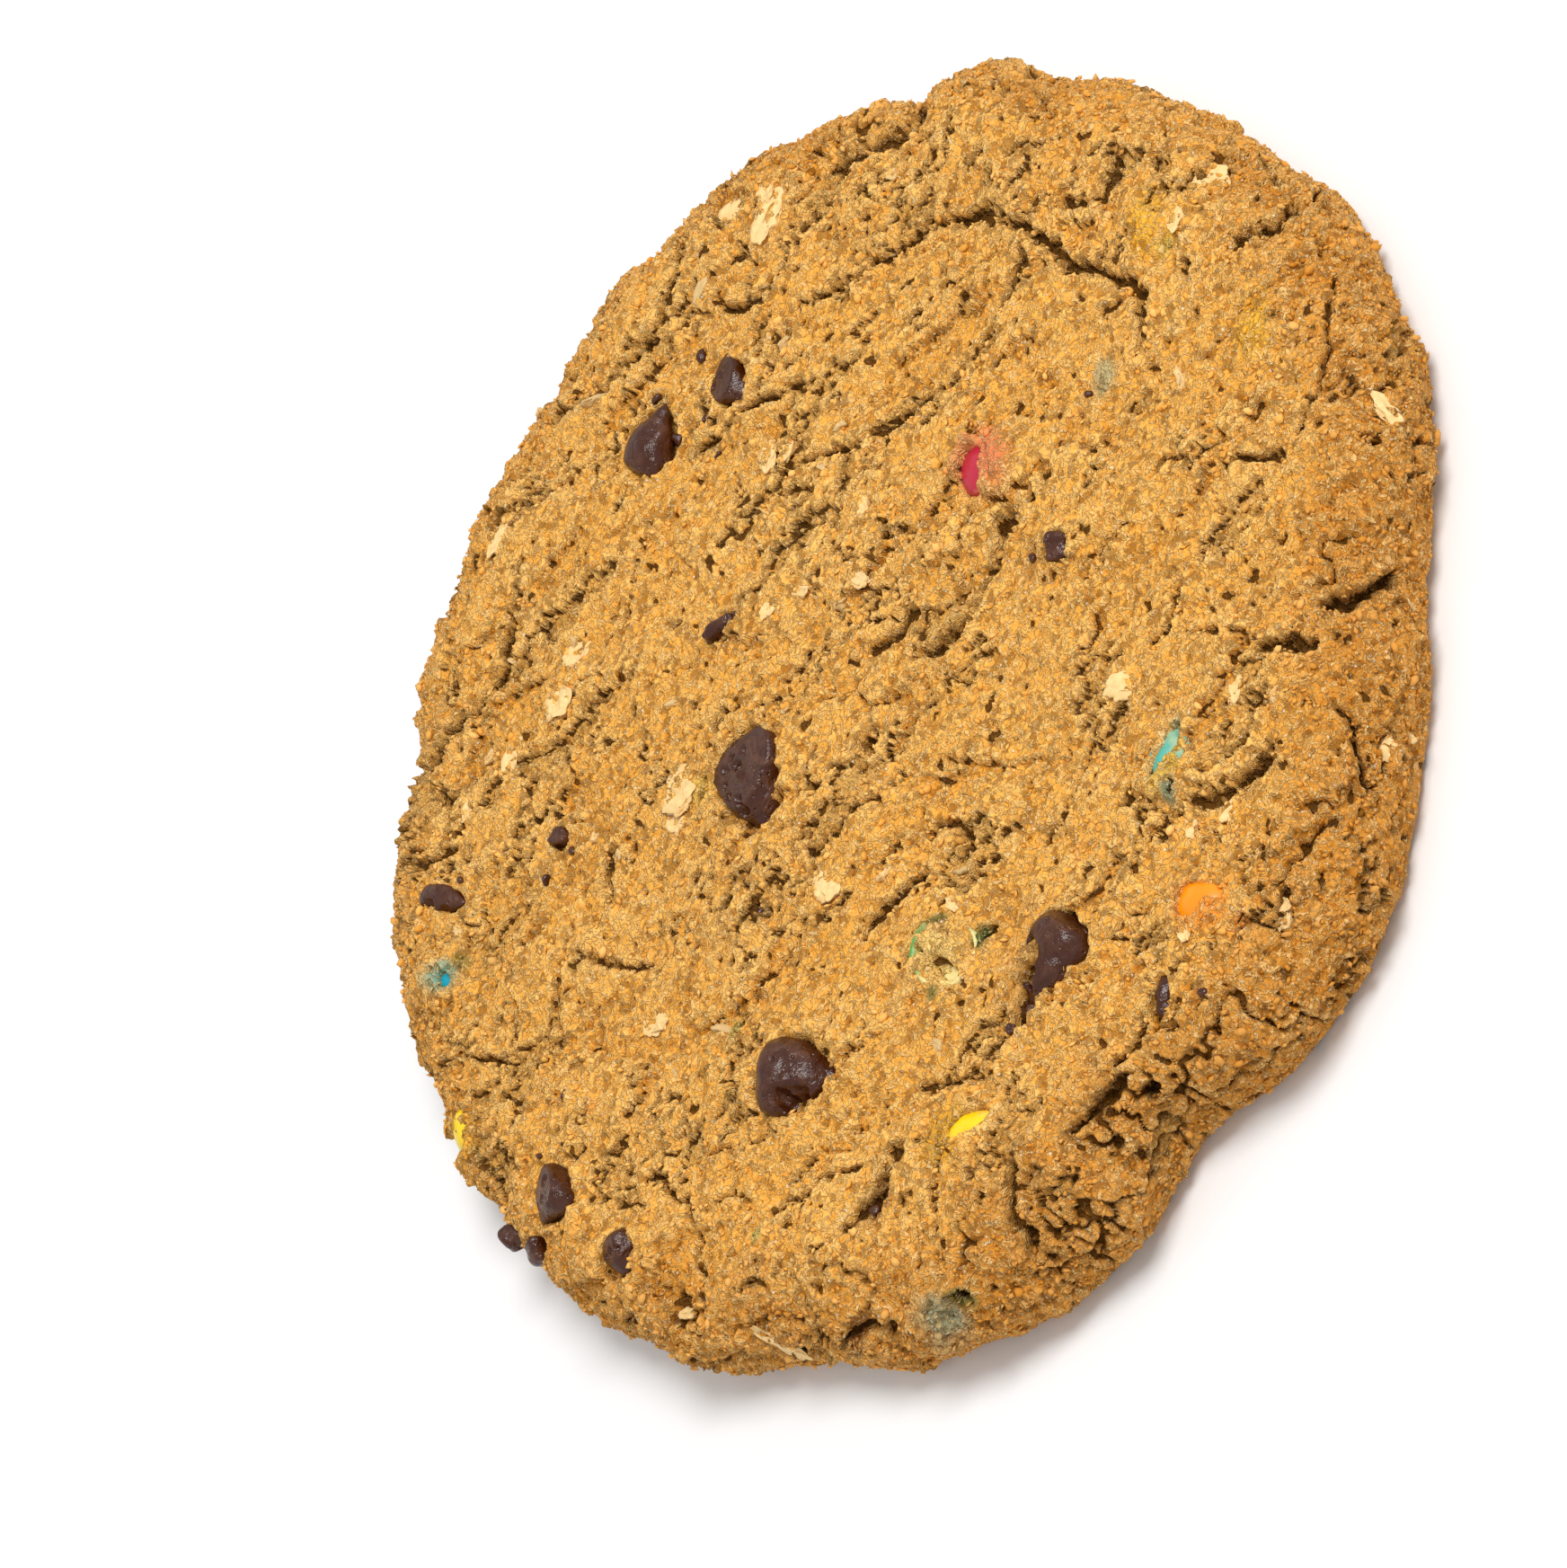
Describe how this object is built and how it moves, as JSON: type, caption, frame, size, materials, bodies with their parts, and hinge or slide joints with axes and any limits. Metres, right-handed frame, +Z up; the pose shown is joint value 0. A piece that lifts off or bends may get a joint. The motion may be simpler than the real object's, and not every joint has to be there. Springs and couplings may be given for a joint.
{
  "type": "chocolate chip cookie",
  "caption": "Large round oatmeal cookie with a cracked golden crust, chocolate chips, rolled oats and sugar-shelled chocolate lentils.",
  "frame": {"origin": "middle of the flat base, on the surface that the cookie lies on", "axes": "+Z up out of the shown side, -Y towards the side seen nearest to the camera"},
  "size_m": [0.12, 0.1222, 0.0149],
  "materials": {
    "baked_dough": "dry, crumbly golden crust, browner at the rim",
    "chocolate": "dark chocolate with a soft sheen",
    "shell_red": "sugar shell",
    "shell_yellow": "sugar shell",
    "shell_orange": "sugar shell",
    "shell_green": "sugar shell",
    "shell_blue": "sugar shell",
    "shell_teal": "sugar shell"
  },
  "bodies": {
    "root": {"dough": "baked_dough", "chip_centre": "chocolate", "chip_near": "chocolate", "chip_tucked": "chocolate", "chip_far": "chocolate", "chip_far_small": "chocolate", "chip_left": "chocolate", "chip_left_small": "chocolate", "chip_far_left": "chocolate", "bit_corner": "chocolate", "bit_rim_low": "chocolate", "bit_rim_high": "chocolate", "bit_pair": "chocolate", "bit_sliver": "chocolate", "bit_in_gap": "chocolate", "lentil_red": "shell_red", "lentil_yellow_rim": "shell_yellow", "lentil_yellow": "shell_yellow", "lentil_orange": "shell_orange", "lentil_green": "shell_green", "lentil_blue": "shell_blue", "lentil_teal": "shell_teal", "lentil_blue_near": "shell_blue"}
  },
  "joints": []
}
